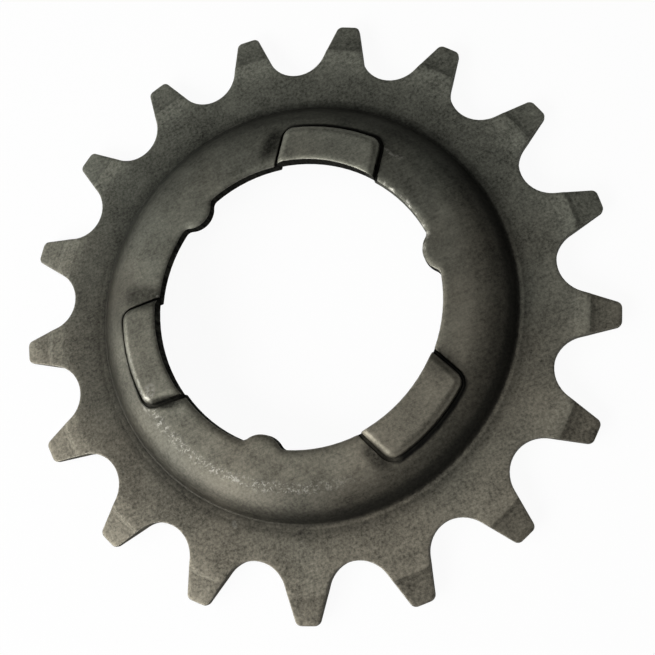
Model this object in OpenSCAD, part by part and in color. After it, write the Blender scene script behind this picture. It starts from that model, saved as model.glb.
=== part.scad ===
// Rear sprocket of a bicycle hub: one piece of pressed steel sheet. The toothed rim lies low, the
// middle is dished up to an inner ring, drive lugs stand into the bore, and a pad is pressed up
// midway between each two lugs.
// The origin is on the axis of the bore, in the back plane of the rim. +Z points to the raised
// side, and +X runs through the middle of a tooth and of a drive lug.

/* [Chain] */
// Number of teeth
teeth = 17; // [16:1:22]
// Pitch of the chain, from roller to roller
chain_pitch = 12.7; // [12.2:0.1:13.2]
// Diameter of the chain's rollers
roller_d = 7.75; // [7:0.05:8]
// Play round a roller in its seat
seat_play = 0.045; // [0:0.005:0.1]

/* [Teeth] */
// Height of the tips above the pitch circle
tip_rise = 2.8; // [2.2:0.1:3.2]
// Lean of a flank from the tooth's middle line
flank_angle = 15.5; // [13:0.5:17]
// Rounding of the two corners at a tip
tip_corner_r = 0.75; // [0.3:0.05:0.9]
// Length of the bevel, inwards from the tips
bevel_len = 3.45; // [2.5:0.05:4.5]
// Fall of the bevel from its start to the tips, on each face
bevel_drop = 0.4; // [0.2:0.05:0.6]
// Depth of the small step with which the bevel starts
bevel_step = 0.08; // [0.03:0.01:0.12]
// Width of that step
bevel_step_w = 0.22; // [0.1:0.02:0.4]
// Length of the faint lead-in before the bevel
lead_len = 1.8; // [0.8:0.1:2.2]
// Depth of the lead-in where the bevel starts
lead_drop = 0.05; // [0.02:0.01:0.1]

/* [Sheet and dish] */
// Thickness of the sheet
sheet_t = 1.8; // [1.6:0.1:2.4]
// Height of the inner ring above the rim
dish = 3; // [2:0.1:4]
// Steepest slope of the wall, at its foot: the sheet comes down to it in one long bend
wall_angle = 56; // [50:1:65]
// Radius of the crease at the foot of the wall, in front
crease_round = 0.45; // [0.2:0.05:1.2]
// Flat width of the inner ring, from the bore to the start of the bend
ring_w = 3.05; // [2.6:0.05:3.6]

/* [Line left by the die] */
// Distance from the foot of the wall to the line
die_line_gap = 0.5; // [0.3:0.1:1]
// Width of the line
die_line_w = 0.4; // [0.2:0.05:0.6]
// Depth of the line
die_line_depth = 0.03; // [0.02:0.01:0.1]

/* [Bore and lugs] */
// Diameter of the bore
bore_d = 35; // [33:0.5:37]
// Number of drive lugs, and of pads between them
lugs = 3; // [2:1:5]
// Reach of a lug into the bore
lug_reach = 1.42; // [0.8:0.02:1.8]
// Radius of a lug's round nose
lug_nose_r = 2.75; // [2.2:0.05:3.2]
// Fillet beside a lug
lug_root_r = 1; // [0.3:0.1:1.5]

/* [Pads] */
// Width of a pad
pad_w = 12.3; // [9:0.1:14]
// Length of a pad, outwards from the bore
pad_len = 4.5; // [4:0.1:5]
// Height of a pad above the inner ring
pad_h = 1.2; // [0.9:0.1:1.4]
// Radius of a pad's two outer corners, seen from above
pad_corner_r = 1.4; // [0.9:0.1:2]
// Rounding of a pad's upper edges
pad_edge_r = 1; // [0.4:0.05:1.1]
// Width of the line sheared into the ring round a pad
shear_w = 0.4; // [0.2:0.05:0.6]
// Depth of that line
shear_depth = 0.45; // [0.2:0.05:0.6]
// Depth of the pocket behind a pad
pocket_depth = 0.9; // [0.5:0.1:1.1]
// Amount by which the pocket is smaller than the pad, on each side
pocket_inset = 0.15; // [0:0.05:0.4]

/* [Hidden] */
$fn = 128;
// Overshoot of cutting shapes past the metal
spare = 1;
// Amount by which a rounding runs over the walls it meets, so that they cross and don't only touch
crossing = 0.0005;
// Overlap of a pad's corners with its sides
lap = 0.1;

// Teeth
half_pitch = 180 / teeth;
pitch_r = chain_pitch / (2 * sin(half_pitch));
seat_r = roller_d / 2 + seat_play;
tip_r = pitch_r + tip_rise;
bevel_r = tip_r - bevel_len;
step_r = bevel_r + bevel_step_w;
lead_r = bevel_r - lead_len;
flank_dir = half_pitch + flank_angle;
flank_normal = [sin(flank_angle), cos(flank_angle)];
flank_run = [cos(flank_angle), -sin(flank_angle)];
flank_off = pitch_r * sin(flank_dir) - seat_r;

// Dish: the long bend and the crease meet on one slope, and their centres hold for both faces
bore_r = bore_d / 2;
flat_r = bore_r + ring_w;
bends_r = dish / (1 - cos(wall_angle));
shoulder_r = bends_r - crease_round;
crease_r = flat_r + bends_r * sin(wall_angle);
wall_normal = [sin(wall_angle), cos(wall_angle)];
front_z = dish + sheet_t;
shoulder_c = [flat_r, front_z - shoulder_r];
crease_c = [crease_r, sheet_t + crease_round];
die_line_r = crease_r + die_line_gap + die_line_w / 2;

// Lugs
lug_tip_r = bore_r - lug_reach;
lug_c = [lug_tip_r + lug_nose_r, 0];
inner_r = lug_tip_r - spare;

// Pads
pad_end_r = bore_r + pad_len;
pad_top_z = front_z + pad_h;
pad_base_z = front_z - sheet_t / 2;
// The rounding stays inside the corners that it runs round
pad_round = min(pad_edge_r, 0.9 * pad_corner_r);
pad_corner_y = pad_w / 2 - pad_corner_r;
pad_corner_c = [sqrt(pow(pad_end_r - pad_corner_r, 2) - pow(pad_corner_y, 2)), pad_corner_y];

function along(a) = [cos(a), sin(a)];
function across(a) = [-sin(a), cos(a)];
function flipped(p) = [p.x, -p.y];
function unit(p) = p / norm(p);

module around(count, first = 0) {
    for (i = [0 : count - 1])
        rotate(first + i * 360 / count)
            children();
}

module both_sides() {
    children();
    mirror([0, 1]) children();
}

// Quarter of a disc, towards +X and +Y
module quarter_2d(r) {
    intersection() {
        circle(r = r);
        square(r + spare);
    }
}

// Sharp corner between two walls that a circle of radius r round c touches at c + r * a and c + r * b
module corner_2d(c, r, a, b) {
    reach = r + spare;
    polygon([c, c + reach * a, c + reach * (a + b), c + reach * b]);
}

// What a rounded corner takes off
module corner_waste_2d(c, r, a, b) {
    difference() {
        corner_2d(c, r, a, b);
        translate(c) circle(r = r + crossing);
    }
}

// Space between two teeth, its middle line along +X: a roller seat with two straight flanks
module gullet_2d() {
    seat_end = [pitch_r, 0] + seat_r * across(flank_dir);
    flank_end = seat_end + 2 * (seat_r + tip_rise) * along(flank_dir);
    translate([pitch_r, 0]) circle(r = seat_r);
    polygon([seat_end, flank_end, flipped(flank_end), flipped(seat_end)]);
}

// Waste beside the tip of a tooth that stands along +X, on its +Y side
module tip_waste_2d() {
    side = flank_off - tip_corner_r;
    c = side * flank_normal + sqrt(pow(tip_r - tip_corner_r, 2) - pow(side, 2)) * flank_run;
    corner_waste_2d(c, tip_corner_r, flank_normal, unit(c));
}

// Outline of the punched blank, with no bore
module blank_2d() {
    difference() {
        circle(r = tip_r);
        around(teeth, half_pitch) gullet_2d();
        around(teeth) both_sides() tip_waste_2d();
    }
}

// Lug along +X with its fillets, reaching past the bore's edge into the ring
module lug_2d() {
    to_bore = bore_r - lug_root_r;
    to_nose = lug_nose_r + lug_root_r;
    x = (pow(to_bore, 2) - pow(to_nose, 2) + pow(lug_c.x, 2)) / (2 * lug_c.x);
    root_c = [x, sqrt(pow(to_bore, 2) - pow(x, 2))];
    translate(lug_c) circle(r = lug_nose_r);
    both_sides() difference() {
        polygon([lug_c, root_c, (bore_r + spare) * unit(root_c)]);
        translate(root_c) circle(r = lug_root_r + crossing);
    }
}

module bore_2d() {
    difference() {
        circle(r = bore_r);
        around(lugs) lug_2d();
    }
}

// Everything under one face of the sheet, in the plane of radius and height. depth is how far the
// face lies under the front face, and bevel_sign is 1 where the bevel goes down and -1 where it goes up.
module under_face_2d(depth, bevel_sign) {
    bend = shoulder_r - depth;
    crease = crease_round + depth;
    ring_z = front_z - depth;
    rim_z = sheet_t - depth;
    outer_r = tip_r + spare;
    step_drop = lead_drop + bevel_step;
    outer_drop = step_drop + bevel_drop * (outer_r - step_r) / (tip_r - step_r);
    floor_z = -shoulder_r;
    difference() {
        union() {
            polygon([
                [inner_r, floor_z],
                [inner_r, ring_z],
                [flat_r, ring_z],
                shoulder_c + bend * wall_normal,
                [crease_r, rim_z],
                [lead_r, rim_z],
                [bevel_r, rim_z - bevel_sign * lead_drop],
                [step_r, rim_z - bevel_sign * step_drop],
                [outer_r, rim_z - bevel_sign * outer_drop],
                [outer_r, floor_z]
            ]);
            translate(shoulder_c) quarter_2d(bend + crossing);
        }
        translate(crease_c) circle(r = crease + crossing);
    }
}

module section_2d() {
    difference() {
        under_face_2d(0, 1);
        under_face_2d(sheet_t, -1);
        polygon([
            [die_line_r - die_line_w / 2, sheet_t],
            [die_line_r, sheet_t - die_line_depth],
            [die_line_r + die_line_w / 2, sheet_t]
        ]);
    }
}

// Profile of a raised edge, from radius r0 out to r1, with the outer upper edge rounded
module raised_edge_2d(r0, r1) {
    polygon([
        [r0, pad_base_z],
        [r0, pad_top_z],
        [r1 - pad_round, pad_top_z],
        [r1, pad_top_z - pad_round],
        [r1, pad_base_z]
    ]);
    translate([r1 - pad_round, pad_top_z - pad_round]) quarter_2d(pad_round);
}

// Outline of a pad along +X, set in all round, or out where inset is below 0
module pad_2d(inset) {
    difference() {
        intersection() {
            circle(r = pad_end_r - inset);
            translate([0, inset - pad_w / 2]) square([pad_end_r - inset, pad_w - 2 * inset]);
        }
        both_sides() corner_waste_2d(pad_corner_c, pad_corner_r - inset, [0, 1], unit(pad_corner_c));
    }
}

// Pad along +X, with rounded upper edges: its straight sides and its round end, then its two corners
module pad() {
    difference() {
        intersection() {
            rotate_extrude() raised_edge_2d(inner_r, pad_end_r);
            rotate([90, 0, 90]) linear_extrude(pad_end_r + spare) pad_front_2d();
        }
        pad_corners(0);
    }
    intersection() {
        both_sides() translate(pad_corner_c) rotate_extrude() raised_edge_2d(0, pad_corner_r + crossing);
        pad_corners(lap);
    }
}

// A pad as seen along its middle line
module pad_front_2d() {
    raised_edge_2d(0, pad_w / 2);
    mirror([1, 0]) raised_edge_2d(0, pad_w / 2);
}

// The two outer corners of a pad, as blocks that hold all that is rounded there and run over what
// lies beside it
module pad_corners(over) {
    side = [0, 1];
    end = unit(pad_corner_c);
    translate([0, 0, pad_base_z - spare])
        linear_extrude(pad_top_z - pad_base_z + 2 * spare)
            both_sides() corner_2d(pad_corner_c - over * (side + end), pad_corner_r, side, end);
}

// Line sheared round a pad: a shallow bed in which the pad then stands
module shear_line() {
    translate([0, 0, front_z - shear_depth])
        linear_extrude(shear_depth + spare) pad_2d(-shear_w);
}

// Hollow behind a pad
module pocket() {
    translate([0, 0, -spare])
        linear_extrude(dish + pocket_depth + spare) pad_2d(pocket_inset);
}

module sprocket() {
    color("dimgray") difference() {
        union() {
            difference() {
                intersection() {
                    rotate_extrude() section_2d();
                    translate([0, 0, -spare]) linear_extrude(front_z + 2 * spare) blank_2d();
                }
                around(lugs, 180 / lugs) shear_line();
            }
            around(lugs, 180 / lugs) pad();
        }
        around(lugs, 180 / lugs) pocket();
        translate([0, 0, -spare]) linear_extrude(pad_top_z + 2 * spare) bore_2d();
    }
}

sprocket();
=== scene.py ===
import math
import bmesh
import bpy
from mathutils import Matrix, Vector, kdtree, noise


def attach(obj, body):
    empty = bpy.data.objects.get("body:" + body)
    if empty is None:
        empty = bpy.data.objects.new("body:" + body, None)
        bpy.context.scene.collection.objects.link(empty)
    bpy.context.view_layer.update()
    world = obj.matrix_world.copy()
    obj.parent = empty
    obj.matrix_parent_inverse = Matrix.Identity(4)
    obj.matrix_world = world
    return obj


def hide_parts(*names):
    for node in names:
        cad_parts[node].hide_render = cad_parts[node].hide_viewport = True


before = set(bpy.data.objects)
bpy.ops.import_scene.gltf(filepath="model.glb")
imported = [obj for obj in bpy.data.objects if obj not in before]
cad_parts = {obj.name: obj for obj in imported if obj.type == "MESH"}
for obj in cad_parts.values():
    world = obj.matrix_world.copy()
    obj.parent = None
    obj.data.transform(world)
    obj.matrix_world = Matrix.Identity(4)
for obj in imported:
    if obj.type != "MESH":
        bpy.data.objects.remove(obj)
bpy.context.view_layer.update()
scene = bpy.context.scene
mm = 0.001

# how the part lies in the picture: the picture's axes are the part's, turned about the bore
pictureView = {
    "turn": 18.45,                  # degrees
    "aim": (3.363, -2.659, 1.8),    # mm, on the front of the rim
    "azimuth": -39.46,              # degrees from the picture's right
    "elevation": 73.28,
    "roll": 1.21,
    "distance": 101.83,             # mm
    "lens": 46.32,                  # mm
    "sensor": 36,
    "clip": (0.005, 20),            # m, the nearest and farthest things that show
}


def heading(azimuth, elevation):
    a, e = math.radians(azimuth), math.radians(elevation)
    return Vector((math.cos(a) * math.cos(e), math.sin(a) * math.cos(e), math.sin(e)))


def pictureTurn():
    return Matrix.Rotation(-math.radians(pictureView["turn"]), 3, "Z")


def addCamera():
    v = pictureView
    back = heading(v["azimuth"], v["elevation"])
    right = Vector((0, 1, 0)).cross(back).normalized()
    up = back.cross(right)
    axes = Matrix((right, up, back)).transposed() @ Matrix.Rotation(math.radians(v["roll"]), 3, "Z")
    spot = (Vector(v["aim"]) + v["distance"] * back) * mm
    data = bpy.data.cameras.new("camera")
    data.lens = v["lens"]
    data.sensor_width = v["sensor"]
    data.clip_start, data.clip_end = v["clip"]
    camera = bpy.data.objects.new("camera", data)
    scene.collection.objects.link(camera)
    camera.matrix_world = (pictureTurn() @ axes).to_4x4()
    camera.location = pictureTurn() @ spot
    scene.camera = camera
    print("camera at", [round(x, 4) for x in camera.location])


# a shader socket; sums on it add Math nodes, and node() adds any other node
class Sock:
    def __init__(self, tree, socket=None):
        self.tree = tree
        self.socket = socket

    def node(self, kind, settings=None, inputs=None, out=0):
        made = self.tree.nodes.new(kind)
        for name, value in (settings or {}).items():
            if name == "stops":
                ramp = made.color_ramp
                while len(ramp.elements) < len(value):
                    ramp.elements.new(0.5)
                for element, (place, shade) in zip(ramp.elements, value):
                    element.position = place
                    element.color = (shade, shade, shade, 1)
            else:
                setattr(made, name, value)
        for name, value in (inputs or {}).items():
            if isinstance(value, Sock):
                self.tree.links.new(value.socket, made.inputs[name])
            else:
                made.inputs[name].default_value = value
        return Sock(self.tree, made.outputs[out]) if made.outputs else made

    def sum(self, operation, first, second=0.0):
        return self.node("ShaderNodeMath", {"operation": operation}, {0: first, 1: second})

    def __add__(self, other):
        return self.sum("ADD", self, other)

    def __radd__(self, other):
        return self.sum("ADD", other, self)

    def __sub__(self, other):
        return self.sum("SUBTRACT", self, other)

    def __rsub__(self, other):
        return self.sum("SUBTRACT", other, self)

    def __mul__(self, other):
        return self.sum("MULTIPLY", self, other)

    def __rmul__(self, other):
        return self.sum("MULTIPLY", other, self)

    def __truediv__(self, other):
        return self.sum("DIVIDE", self, other)

    def most(self, other):
        return self.sum("MAXIMUM", self, other)

    def least(self, other):
        return self.sum("MINIMUM", self, other)

    def ease(self, low, high):  # 0 under low, 1 over high, smooth between
        return self.node("ShaderNodeMapRange", {"interpolation_type": "SMOOTHSTEP"},
                         {"Value": self, "From Min": low, "From Max": high})

    def band(self, low, high, soft):  # 1 between low and high
        return self.ease(low - soft, low + soft) * (1 - self.ease(high - soft, high + soft))

    def noise(self, scale, detail, rough):
        return self.node("ShaderNodeTexNoise", None,
                         {"Vector": self, "Scale": scale, "Detail": detail, "Roughness": rough})

    def attribute(self, name):
        return self.node("ShaderNodeAttribute", {"attribute_name": name}, out=2)

    def vector(self, operation, second, out=0):
        return self.node("ShaderNodeVectorMath", {"operation": operation}, {0: self, 1: second}, out=out)

    def length(self):
        return self.vector("LENGTH", (0, 0, 0), out=1)

    def turned(self, degrees):
        turn = (0, 0, math.radians(degrees))
        return self.node("ShaderNodeMapping", None, {"Vector": self, "Rotation": turn})

    def spot(self, x, y, long, wide, degrees):  # 1 in the middle of an oval, 0 from its rim on
        away = self.vector("SUBTRACT", (x, y, 0)).turned(-degrees)
        return 1 - away.vector("MULTIPLY", (1 / long, 1 / wide, 0)).length().ease(0.3, 1.0)

    def towards(self, degrees):  # cosine of the angle between this heading and another
        a = math.radians(degrees)
        return self.vector("DOT_PRODUCT", (math.cos(a), math.sin(a), 0), out=1)

    def tint(self, first, second):  # colours mixed by this value
        return self.node("ShaderNodeMix", {"data_type": "RGBA"}, {0: self, 6: first, 7: second}, out=2)


def newMaterial(name):
    made = bpy.data.materials.new(name)
    made.use_nodes = True
    made.node_tree.nodes.clear()
    return made, Sock(made.node_tree)


steelLook = {
    "cool": (0.108, 0.110, 0.090, 1),
    "warm": (0.120, 0.110, 0.086, 1),
    "paleMetal": (0.36, 0.35, 0.31, 1),
    "sootShade": (0.009, 0.009, 0.008, 1),
    "metallic": 0.75,
    "edgeTint": (0.4, 0.4, 0.38, 1),    # share of the shine that is left at a low angle
    "roughness": 0.52,
    "sootShadeRoughness": 0.9,
    # radius in mm and shade there, from the bore out to the tips; the dark wall of the bend and the dark band
    # at its foot are partly painted shade
    "zones": [(16.0, 1.21), (20.6, 1.21), (21.4, 1.04), (22.4, 0.94), (23.2, 0.80), (24.4, 0.54),
              (25.2, 0.48), (25.9, 0.37), (26.3, 0.47), (26.9, 0.64), (27.8, 0.88), (29.0, 1.00),
              (30.2, 1.10), (31.4, 1.20), (32.1, 1.22), (32.2, 1.48), (33.85, 1.50), (33.95, 0.96),
              (35.0, 1.08), (36.4, 1.30), (38.0, 1.34)],
    "zoneWander": 0.5,          # mm, how far their borders wander
    "padShade": 1.36,
    "darkest": 0.12,            # least shade
    # painted light and shade on sides of the rim, the teeth, the crease and the bend: degrees in the
    # picture's axes, radii in mm from and to, softness in mm, gain
    "sides": [(280, 27.4, 31.8, 0.9, 0.26), (80, 31.0, 40.0, 0.8, 0.18), (185, 26.4, 31.5, 1.5, -0.26),
              (322, 26.05, 26.55, 0.15, 0.90), (75, 23.4, 25.6, 0.5, -0.30)],
    "ringLightGain": 0.30,           # the same for the inner ring, painted lighter towards the lamps
    # dark places in the picture's axes, smudges and painted shadows: those at -19.3, 1.0 and 17.4, -7.6 are
    # painted shadows of the pads on their sides away from the lamps, and the long one at -22.4, 0.6 darkens
    # the left of the bend; x, y, half length, half width in mm, degrees, depth
    "stainsAndShadows": [(-3.6, 20.1, 3.2, 1.7, 62, 0.75), (-19.3, 1.0, 4.4, 2.5, -12, 0.62),
               (-15.6, -12.1, 3.0, 1.1, 8, 0.80), (10.0, -18.0, 2.8, 1.8, -48, 0.70),
               (-22.4, 0.6, 6.5, 2.6, 88, 0.38), (-20.0, -10.2, 7.0, 2.2, 117, 0.16),
               (17.4, -7.6, 3.0, 2.2, -24, 0.35)],
    # light places, in the same way: painted highlights on the left pad's corner and outer edge, and light
    # scuffs
    "glints": [(-17.7, -11.0, 1.7, 1.0, 60, 0.95), (-18.4, -12.6, 1.0, 0.6, -40, 0.7),
               (-20.6, -7.0, 4.5, 0.9, 108, 0.42), (11.2, 18.0, 1.5, 0.30, -48, 0.6),
               (12.3, 17.4, 0.9, 0.45, -20, 0.5), (-17.7, 1.2, 0.25, 0.22, 0, 0.9),
               (-7.3, -26.1, 0.8, 0.6, 40, 0.5)],
    # places round the pads, on sides that the lamps light, where the painted dark line is taken away
    "unshadedSpots": [(10.4, -17.3, 3.4, 1.6, -36, 0.8), (-21.2, -6.8, 6.5, 1.6, 108, 0.75),
              (-17.0, -11.9, 3.2, 1.0, 8, 0.55)],
    "litMiddle": 240,          # degrees in the picture's axes, of the side that faces the lamps, where the bend and the rim get the most pale bare metal and painted sheen
    "ringLitMiddle": 225,          # of the side of the inner ring that is painted lighter, towards the lamps
    "shadedFootMiddle": 336,          # of the side away from the lamps, where the foot of the bend is painted darker
    # noises: scale per mm, detail, roughness
    "grain": (2.7, 4, 0.74),
    "mottle": (0.60, 4, 0.62),
    "patch": (0.17, 2, 0.5),
    "cloud": (0.07, 2, 0.5),
    "speckle": (2.4, 4, 0.72),
    "streak": (1.0, 3, 0.6),    # of the brush lines and the torn walls, drawn out by the scales below
    "brushTurn": -24,           # degrees
    "brushScale": (0.45, 6.5, 1),
    "tornScale": (3, 3, 0.5),
    # share of each noise in the shade
    "ringGrain": 1.9,
    "rimGrain": 0.9,            # what the rim has more than the ring
    "mottleShade": 0.75,
    "brushShade": 0.55,
    "patchShade": 0.9,
    "toolPitch": 11,            # radians per mm, of the lines that turning left on the bevels
    "toolShade": 0.07,
    # warm colour: share at the axis, mm upward for a fall of 1, change by clouds
    "warmth": (0.45, 60, 1.2),
    "bevelWarmth": (0.15, 70),  # what the bevels have more
    # heights in mm, over which something begins or ends
    "ringFrom": (4.2, 4.5),
    "padFrom": (5.0, 5.5),
    "darkPlaceFrom": (3.5, 3.9),
    "sootShadeTo": (4.72, 5.05),
    # radii in mm, in the same way
    "ringTo": (20.5, 22.5),
    "rimGrainFrom": (22.5, 25.5),
    "flecksFrom": (26.6, 28.5),
    "bevelFrom": (33.95, 34.1),
    "toolLinesTo": (34.3, 35.6),
    # bands: radii in mm from and to, softness in mm
    "wornSheenBend": (21.3, 22.7, 0.5),
    "foot": (24.6, 26.0, 0.5),
    "crease": (25.9, 26.2, 0.18),
    # strength of pale bare metal with painted sheen, and of the dull dark coat of soot and painted shade
    "paleTint": 0.7,
    "bendRubSheen": 0.95,
    "fleckRubSheen": 0.24,
    "footShade": (0.06, 0.64),   # painted shade: a little everywhere, and more on the side away from the lamps
    "creaseShade": 0.42,
    "wallSootShade": (0.96, 0.4),    # and how much it varies
    "bump": 0.8,
}


def darkSteel():
    look = steelLook
    made, s = newMaterial("darkSteel")
    place = s.node("ShaderNodeTexCoord", out=3)
    p = place.vector("MULTIPLY", (1 / mm, 1 / mm, 1 / mm))      # in mm
    q = p.turned(pictureView["turn"])                           # in the picture's axes
    edgeRub = s.attribute("edgeRub")
    grime = s.attribute("grime")
    cutFace = s.attribute("cutFace")
    flat = q.vector("MULTIPLY", (1, 1, 0))
    radius = flat.length()
    outward = flat.vector("NORMALIZE", (0, 0, 0))
    height = s.node("ShaderNodeSeparateXYZ", None, {0: q}, out=2)
    upward = s.node("ShaderNodeSeparateXYZ", None, {0: q}, out=1)
    onFront = height.ease(*look["ringFrom"])
    onPad = height.ease(*look["padFrom"])
    grain = p.noise(*look["grain"])
    mottle = p.noise(*look["mottle"])
    patch = p.noise(*look["patch"])
    cloud = p.noise(*look["cloud"])
    brush = q.turned(look["brushTurn"]).vector("MULTIPLY", look["brushScale"]).noise(*look["streak"])
    speckle = p.noise(*look["speckle"])
    # shade, with painted shade on the bend and painted light and shade by side
    low, high = look["zones"][0][0], look["zones"][-1][0]
    stops = [((r - low) / (high - low), shade / 2) for r, shade in look["zones"]]
    uneven = radius + look["zoneWander"] * (mottle - 0.5)
    zone = 2 * s.node("ShaderNodeValToRGB", {"stops": stops}, {0: (uneven - low) / (high - low)})
    zone = zone + onPad * (look["padShade"] - zone)
    onRing = (1 - radius.ease(*look["ringTo"])) * (1 - onPad)
    # painted light: the inner ring is lighter on the side towards the lamps
    zone = zone * (1 + look["ringLightGain"] * outward.towards(look["ringLitMiddle"]) * onRing)
    # painted light and shade by side
    for middle, inner, outer, soft, gain in look["sides"]:
        side = outward.towards(middle).ease(0.2, 0.95)
        zone = zone * (1 + gain * side * radius.band(inner, outer, soft))
    coarse = look["ringGrain"] + look["rimGrain"] * radius.ease(*look["rimGrainFrom"])
    shade = 1 + coarse * (grain - 0.5) + look["mottleShade"] * (mottle - 0.5)
    shade = shade + look["brushShade"] * (brush - 0.5) + look["patchShade"] * (patch - 0.5)
    shade = (zone * shade).most(look["darkest"])
    # smudges, and painted shadows of the pads
    for x, y, long, wide, degrees, depth in look["stainsAndShadows"]:
        darkPlace = q.spot(x, y, long, wide, degrees) * height.ease(*look["darkPlaceFrom"])
        shade = shade * (1 - (darkPlace * (0.2 + 1.6 * speckle) * depth).least(0.85))
    # the turned bevels of the teeth
    onBevel = radius.ease(*look["bevelFrom"])
    toolLines = s.sum("SINE", radius * look["toolPitch"] + 6 * mottle + 2 * brush)
    toolLines = toolLines * onBevel * (1.1 - radius.ease(*look["toolLinesTo"]))
    shade = shade * (1 + look["toolShade"] * toolLines)
    warmth, fall, change = look["warmth"]
    bevelWarmth, bevelFall = look["bevelWarmth"]
    warm = warmth - upward / fall + change * (cloud - 0.5) + onBevel * (bevelWarmth - upward / bevelFall)
    tone = warm.ease(0, 1).tint(look["cool"], look["warm"])
    colour = s.node("ShaderNodeVectorMath", {"operation": "SCALE"}, {0: tone, 3: shade})
    # pale bare metal on edges; on the bend and in flecks on the rim, only on the side that faces the lamps,
    # partly painted sheen; and the painted highlights of the glints
    towardLamps = outward.towards(look["litMiddle"])
    bend = towardLamps.ease(0.50, 0.92) * radius.band(*look["wornSheenBend"]) * onFront * speckle.ease(0.51, 0.62)
    flecks = towardLamps.ease(0.2, 0.9) * radius.ease(*look["flecksFrom"]) * speckle.ease(0.56, 0.74)
    paleShare = (edgeRub * (0.3 + 1.3 * speckle)).ease(0.45, 1.0)
    paleShare = paleShare.most(look["bendRubSheen"] * bend).most(look["fleckRubSheen"] * flecks)
    for x, y, long, wide, degrees, depth in look["glints"]:
        paleShare = paleShare.most(q.spot(x, y, long, wide, degrees) * speckle.ease(0.38, 0.62) * depth)
    colour = (look["paleTint"] * paleShare).tint(colour, look["paleMetal"])
    rough = look["roughness"] + 0.20 * (grain - 0.5) + 0.10 * (mottle - 0.5) - 0.10 * paleShare
    relief = 0.012 * grain + 0.016 * mottle + 0.006 * brush + 0.004 * toolLines
    bump = s.node("ShaderNodeBump", None, {"Strength": look["bump"], "Distance": mm, "Height": relief})
    steel = s.node("ShaderNodeBsdfPrincipled", None,
                   {"Base Color": colour, "Metallic": look["metallic"], "Roughness": rough,
                    "Specular Tint": look["edgeTint"], "Normal": bump})
    # torn walls and dirty corners take no shine; the same dull dark coat is painted shade in the corners
    # round the pads, at the foot of the bend, in the crease and on the punched walls
    torn = p.vector("MULTIPLY", look["tornScale"]).noise(*look["streak"])
    # painted shade, partly dirt, in the inner corners round the pads
    sootAndShade = (grime * (0.75 + 0.7 * mottle)).ease(0.25, 0.80) * (1 - height.ease(*look["sootShadeTo"]))
    for x, y, long, wide, degrees, depth in look["unshadedSpots"]:
        sootAndShade = sootAndShade * (1 - depth * q.spot(x, y, long, wide, degrees))
    # painted shade at the foot of the bend, most on the side away from the lamps
    shadedSide = outward.towards(look["shadedFootMiddle"]).ease(0.0, 0.7)
    everywhere, more = look["footShade"]
    sootAndShade = sootAndShade.most(radius.band(*look["foot"]) * (everywhere + more * shadedSide))
    # painted shade in the crease, on the side that faces the lamps
    sootAndShade = sootAndShade.most(radius.band(*look["crease"]) * look["creaseShade"] * towardLamps.ease(-0.1, 0.3))
    # punched walls: torn metal, and painted shade, most in the bore
    mean, change = look["wallSootShade"]
    sootAndShade = sootAndShade.most(cutFace * (mean + change * (torn - 0.5))).least(1)
    dull = s.node("ShaderNodeBsdfPrincipled", None,
                  {"Base Color": look["sootShade"], "Roughness": look["sootShadeRoughness"],
                   "Specular IOR Level": 0.0, "Normal": bump})
    shader = s.node("ShaderNodeMixShader", None, {0: sootAndShade, 1: steel, 2: dull})
    s.node("ShaderNodeOutputMaterial", None, {"Surface": shader})
    print("steel has", len(made.node_tree.nodes), "nodes")
    return made


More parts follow.
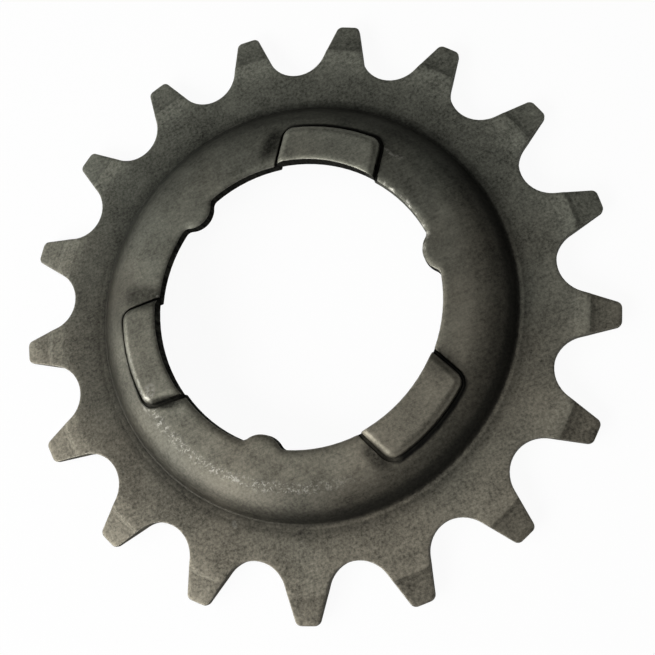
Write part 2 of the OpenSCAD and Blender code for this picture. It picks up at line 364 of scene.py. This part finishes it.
sprocketPiece = {
    "node": "sprocket",
    "weld": 0.002,          # mm, corners closer than this become one
    "thin": 0.003,          # mm, faces with less width are taken out
    "flatTo": 0.2,          # degrees between faces that become one
    "edgeRound": 0.13,      # mm, the soft edge left by the punch
    "edgeSegments": 3,
    "sharpFrom": 50,        # degrees between the faces of an edge that is rounded
    "smoothTo": 40,         # degrees between the faces of an edge that is shaded smooth
    "longest": 0.8,         # mm, edges of the finished mesh
    "fine": 0.30,           # mm, edges near the bore and the pads
    "fineReach": 1.6,
    "sag": 0.025,           # mm, most that a split edge is moved out to its round surface
    "straightFrom": 3,      # mm, edges of this length are split without a move
    "oneSurface": 0.77,     # cosine of the most that neighbouring faces of a round surface turn
    "pointStep": 0.1,       # mm, between the points that stand for an edge
    # radii in mm
    "boreRadius": 17.6,     # everything at the bore lies inside this
    "boreWallTo": 19,
    "bend": (23, 29),       # from the end of the ring to the flat rim
    # heights in mm, from and to
    "anywhere": (0, 9),
    "corners": (2.9, 5),    # inner corners round the pads
    "groove": (4.3, 4.85),  # edges of the line round a pad
    "ringFront": (4.7, 4.85),
    "padFront": (4.95, 9),
    "rollFrom": 3.95,
    "padFrom": 5,
    "padMiddle": 60,        # degrees, of the first pad
    "padStep": 120,
    "dome": (0.038, 17.5, 22.0, 25.8),  # fall of the ring, and radii in mm where it starts, ends and is gone
    "ringRoll": (0.32, 1.05),       # mm, depth and reach of the edge that the punch drew in
    "padRoll": (0.20, 0.60),
    "padCrown": 0.0045,     # per mm, fall of a pad towards its ends
    "lip": (0.12, 0.35),    # mm, height and reach of the torn lip round the pads
    "nick": (0.30, 0.45),   # mm, depth and reach of the nicks in the bore's edge
    "nickFrom": 14,         # degrees in the picture's axes
    "nickTo": 62,
    "nickFade": 8,
    "nickRadius": 18.4,     # mm, nicks lie inside this
    "nickRub": 1.3,         # mm, how far the rubbed metal reaches in from the nicked edge
    "nickPatches": (0.62, 1.1, 0.2),    # rubbed share there, its change and the least of it
    "nickWall": 0.80,       # share of the dark coat that the wall has lost there
    "paleShare": 0.78,            # rubbed share of the other edges
    "rubReach": 0.40,       # mm
    "grimeShadeReach": 0.55,
    "cutTilt": 0.35,        # faces steeper than this are punched walls
    "toothWall": 0.55,      # soot and painted shade on the walls between the teeth, when the bore's have 1
    "roughLump": (0.7, 0.35),       # mm, sizes of coarse and fine lumps
    "dieLine": (26.5, 27.3),        # mm, radii of the line left by the die
    "dieLineHeight": (1.7, 1.8),
    "dieLineFill": 0.2,     # share of its depth that is worn away
}


def distanceTree(points):
    tree = kdtree.KDTree(len(points))
    for i, point in enumerate(points):
        tree.insert(point, i)
    tree.balance()
    return tree


def alongEdges(edges):
    points = []
    for e in edges:
        a, b = e.verts[0].co, e.verts[1].co
        count = max(1, math.ceil(e.calc_length() / (sprocketPiece["pointStep"] * mm)))
        points += [a.lerp(b, i / count).freeze() for i in range(count + 1)]
    return distanceTree(list(set(points)))


def nearness(tree, co, reach):  # 1 on the edge, 0 from reach mm on
    return max(0, 1 - tree.find(co)[2] / (reach * mm))


def sideNormal(vert, way, areas):  # of the faces round a corner that turn the same way
    total = Vector((0, 0, 0))
    for f in vert.link_faces:
        if f.normal.dot(way) > sprocketPiece["oneSurface"]:
            total += f.normal * areas[f.index]
    return total.normalized() if total.length else way


def bulge(e, areas):  # from the middle of an edge out to the round surface that it spans
    shift = Vector((0, 0, 0))
    if e.calc_length() >= sprocketPiece["straightFrom"] * mm:
        return shift
    a, b = e.verts
    span = b.co - a.co
    ways = [f.normal for f in e.link_faces]
    if ways[0].dot(ways[1]) > sprocketPiece["oneSurface"]:
        ways = [(ways[0] + ways[1]).normalized()]
    for way in ways:
        first, second = sideNormal(a, way, areas), sideNormal(b, way, areas)
        shift += (second * span.dot(second) - first * span.dot(first)) / 8
    most = sprocketPiece["sag"] * mm
    return shift * (most / shift.length) if shift.length > most else shift


def openEdges(bm):
    return sum(1 for e in bm.edges if len(e.link_faces) != 2)


def toTriangles(bm):
    bmesh.ops.triangulate(bm, faces=[f for f in bm.faces if len(f.verts) > 3])


def clearThin(bm):  # faces with no width
    for i in range(4):
        bmesh.ops.dissolve_degenerate(bm, edges=bm.edges, dist=sprocketPiece["thin"] * mm)
        toTriangles(bm)


def splitRound(bm, isLong):  # halves long edges until none is left
    for i in range(9):
        long = [e for e in bm.edges if isLong(e)]
        if not long:
            break
        bm.normal_update()
        bm.faces.index_update()
        areas = [f.calc_area() for f in bm.faces]
        middles = distanceTree([(e.verts[0].co + e.verts[1].co) / 2 for e in long])
        shifts = [bulge(e, areas) for e in long]
        for vert in bm.verts:
            vert.tag = True
        bmesh.ops.subdivide_edges(bm, edges=long, cuts=1, use_single_edge=True)
        for vert in bm.verts:
            if not vert.tag:
                vert.co += shifts[middles.find(vert.co)[1]]
        toTriangles(bm)


def partAngle(co):
    return math.degrees(math.atan2(co.y, co.x))


def padSide(co):  # mm from the middle line of the nearest pad
    step = sprocketPiece["padStep"]
    angle = (partAngle(co) - sprocketPiece["padMiddle"]) % step
    return co.xy.length / mm * math.sin(math.radians(min(angle, step - angle)))


def nickedShare(co):  # 1 along the nicked edge of the bore, 0 elsewhere
    v = sprocketPiece
    angle = (partAngle(co) + pictureView["turn"]) % 360
    ends = min(angle - v["nickFrom"], v["nickTo"] - angle) / v["nickFade"]
    return min(max(ends, 0), 1) if co.xy.length < v["nickRadius"] * mm else 0


def domeFall(r):  # in mm, at radius r in mm
    slope, start, end, gone = sprocketPiece["dome"]
    full = slope * (min(max(r, start), end) - start)
    t = min(max((r - end) / (gone - end), 0), 1)
    return full * (1 - t * t * (3 - 2 * t))


def buildSprocket():
    v = sprocketPiece
    bore = v["boreRadius"]
    ringEnd, rimStart = v["bend"]
    bm = bmesh.new()
    bm.from_mesh(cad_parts[v["node"]].data)
    bmesh.ops.remove_doubles(bm, verts=bm.verts, dist=v["weld"] * mm)
    bmesh.ops.dissolve_limit(bm, angle_limit=math.radians(v["flatTo"]), verts=bm.verts, edges=bm.edges)

    def inside(e, radius, heights):
        low, high = heights
        return all(x.co.xy.length < radius * mm and low * mm < x.co.z < high * mm for x in e.verts)

    def onBend(e):
        return all(ringEnd < x.co.xy.length / mm < rimStart for x in e.verts)

    folds = [e for e in bm.edges if e.calc_face_angle(0) > math.radians(v["sharpFrom"])]
    inner = [e for e in folds if not e.is_convex and inside(e, ringEnd, v["corners"])]
    outer = [e for e in folds if e.is_convex and not onBend(e)]
    padEdges = [e for e in outer if inside(e, ringEnd, v["groove"]) and not inside(e, bore, v["anywhere"])]
    innerTree = alongEdges(inner)
    outerTree = alongEdges([e for e in outer if e not in padEdges])
    ringTree = alongEdges([e for e in outer if inside(e, bore, v["ringFront"])])
    topTree = alongEdges([e for e in outer if inside(e, bore, v["padFront"])])
    padTree = alongEdges(padEdges)
    bmesh.ops.bevel(bm, geom=outer, offset=v["edgeRound"] * mm, offset_type="OFFSET",
                    segments=v["edgeSegments"], profile=0.5, affect="EDGES", clamp_overlap=False, material=-1)
    bmesh.ops.remove_doubles(bm, verts=bm.verts, dist=v["weld"] * mm)
    bmesh.ops.triangulate(bm, faces=bm.faces)
    clearThin(bm)
    print("edges rounded:", len(outer), "- open edges:", openEdges(bm))

    def isLong(e):
        length = e.calc_length()
        if length < v["fine"] * mm or length > v["longest"] * mm:
            return length > v["longest"] * mm
        middle = (e.verts[0].co + e.verts[1].co) / 2
        return any(nearness(tree, middle, v["fineReach"]) for tree in (ringTree, topTree, padTree))

    splitRound(bm, isLong)
    bmesh.ops.recalc_face_normals(bm, faces=bm.faces)
    edgeRub = bm.verts.layers.float.new("edgeRub")
    grime = bm.verts.layers.float.new("grime")
    cutFace = bm.faces.layers.float.new("cutFace")
    for f in bm.faces:
        f.smooth = True
        if abs(f.normal.z) < v["cutTilt"]:
            middle = f.calc_center_median()
            # punched walls get the dull dark coat, torn metal and painted shade, most in the bore
            sootShade = 1.0 if middle.xy.length < v["boreWallTo"] * mm else v["toothWall"]
            f[cutFace] = sootShade * (1 - v["nickWall"] * nickedShare(middle))
    share, change, least = v["nickPatches"]
    for vert in bm.verts:
        co = vert.co.copy()
        r, z = co.xy.length / mm, co.z / mm
        coarse, fine = [noise.noise(co / (size * mm)) for size in v["roughLump"]]
        nicked = nickedShare(co)
        paleMetal = v["paleShare"] * nearness(outerTree, co, v["rubReach"])
        torn = min(max(share + change * coarse, least), 1)
        vert[edgeRub] = max(paleMetal * (1 - nicked), nicked * torn * nearness(outerTree, co, v["nickRub"]))
        # painted shade, partly dirt, near the inner corners round the pads
        vert[grime] = nearness(innerTree, co, v["grimeShadeReach"])
        drop = domeFall(r)
        rise = 0
        if z > v["rollFrom"]:
            drop += v["ringRoll"][0] * nearness(ringTree, co, v["ringRoll"][1]) ** 2
            drop += v["padRoll"][0] * nearness(topTree, co, v["padRoll"][1]) ** 2
            rise = v["lip"][0] * nearness(padTree, co, v["lip"][1]) * max(0, coarse + 0.6 * fine)
        drop += v["nick"][0] * nicked * nearness(ringTree, co, v["nick"][1]) * max(0, coarse - 0.05)
        if z > v["padFrom"]:
            drop += v["padCrown"] * padSide(co) ** 2 * min(1, z - v["padFrom"])
        bottom, top = v["dieLineHeight"]
        if v["dieLine"][0] < r < v["dieLine"][1] and bottom < z < top:
            rise = v["dieLineFill"] * (top - z)
        vert.co.z += (rise - drop) * mm
    for e in bm.edges:
        e.smooth = e.calc_face_angle(0) < math.radians(v["smoothTo"])
    mesh = bpy.data.meshes.new("sprocketBody")
    bm.to_mesh(mesh)
    print("sprocket:", len(bm.faces), "faces, open edges:", openEdges(bm))
    bm.free()
    piece = bpy.data.objects.new("sprocketBody", mesh)
    scene.collection.objects.link(piece)
    shading = piece.modifiers.new("evenShading", "WEIGHTED_NORMAL")
    shading.keep_sharp = True
    mesh.materials.append(darkSteel())
    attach(piece, "root")
    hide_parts(v["node"])


studio = {
    "floorSize": 30.0,          # m
    "floorDrop": 0.02,          # mm under the part
    "floorColour": (0.86, 0.86, 0.86, 1),
    "floorGlow": 0.94,          # share of plain white that the camera and reflections see
    "white": (1, 1, 1, 1),
    "worldStrength": 0.055,
    "horizon": (5, 15),         # degrees up to which the far background is pale, and where that has faded
    # name, azimuth and elevation in the picture's axes, distance and size in m, watts
    "lamps": [
        ("leftPanel", 165, 25, 0.60, 0.36, 1.0),
        ("middlePanel", 195, 24, 0.60, 0.36, 1.55),
        ("frontPanel", 226, 28, 0.60, 0.36, 3.45),
        ("topPanel", 45, 85, 0.60, 0.36, 0.63),
    ],
}


def seenDirectly(s):  # 1 for rays of the camera, of reflections and of glass
    rays = s.node("ShaderNodeLightPath", out=0)
    glossy = Sock(s.tree, rays.socket.node.outputs["Is Glossy Ray"])
    through = Sock(s.tree, rays.socket.node.outputs["Is Transmission Ray"])
    return rays.most(glossy).most(through)


def paleFloor():
    made, s = newMaterial("paleFloor")
    seen = seenDirectly(s)
    matt = s.node("ShaderNodeBsdfDiffuse", None, {"Color": studio["floorColour"]})
    glow = s.node("ShaderNodeEmission", None, {"Color": studio["white"], "Strength": 1.0})
    mixed = s.node("ShaderNodeMixShader", None, {0: seen * studio["floorGlow"], 1: matt, 2: glow})
    s.node("ShaderNodeOutputMaterial", None, {"Surface": mixed})
    return made


def addFloor():
    bm = bmesh.new()
    bmesh.ops.create_grid(bm, x_segments=1, y_segments=1, size=studio["floorSize"] / 2)
    bmesh.ops.translate(bm, verts=bm.verts, vec=(0, 0, -studio["floorDrop"] * mm))
    mesh = bpy.data.meshes.new("floor")
    bm.to_mesh(mesh)
    bm.free()
    floor = bpy.data.objects.new("floor", mesh)
    mesh.materials.append(paleFloor())
    scene.collection.objects.link(floor)


def addLamps():
    for name, azimuth, elevation, distance, size, watts in studio["lamps"]:
        data = bpy.data.lights.new(name, "AREA")
        data.shape = "DISK"
        data.size = size
        data.energy = watts
        lamp = bpy.data.objects.new(name, data)
        scene.collection.objects.link(lamp)
        way = pictureTurn() @ heading(azimuth, elevation)
        lamp.location = way * distance
        lamp.rotation_mode = "QUATERNION"
        lamp.rotation_quaternion = (-way).to_track_quat("-Z", "Y")


def addWorld():
    world = bpy.data.worlds.new("studio")
    world.use_nodes = True
    world.node_tree.nodes.clear()
    s = Sock(world.node_tree)
    up = s.node("ShaderNodeSeparateXYZ", None, {0: s.node("ShaderNodeTexCoord", out=0)}, out=2)
    low, high = [math.sin(math.radians(a)) for a in studio["horizon"]]
    pale = seenDirectly(s) * (1 - up.ease(low, high))
    strength = studio["worldStrength"] + pale * (studio["floorGlow"] - studio["worldStrength"])
    back = s.node("ShaderNodeBackground", None, {"Color": studio["white"], "Strength": strength})
    s.node("ShaderNodeOutputWorld", None, {"Surface": back})
    scene.world = world


scene.view_settings.view_transform = "Standard"
addCamera()
addFloor()
addLamps()
addWorld()
print("studio has", len(studio["lamps"]), "lamps")
buildSprocket()
bpy.context.view_layer.update()
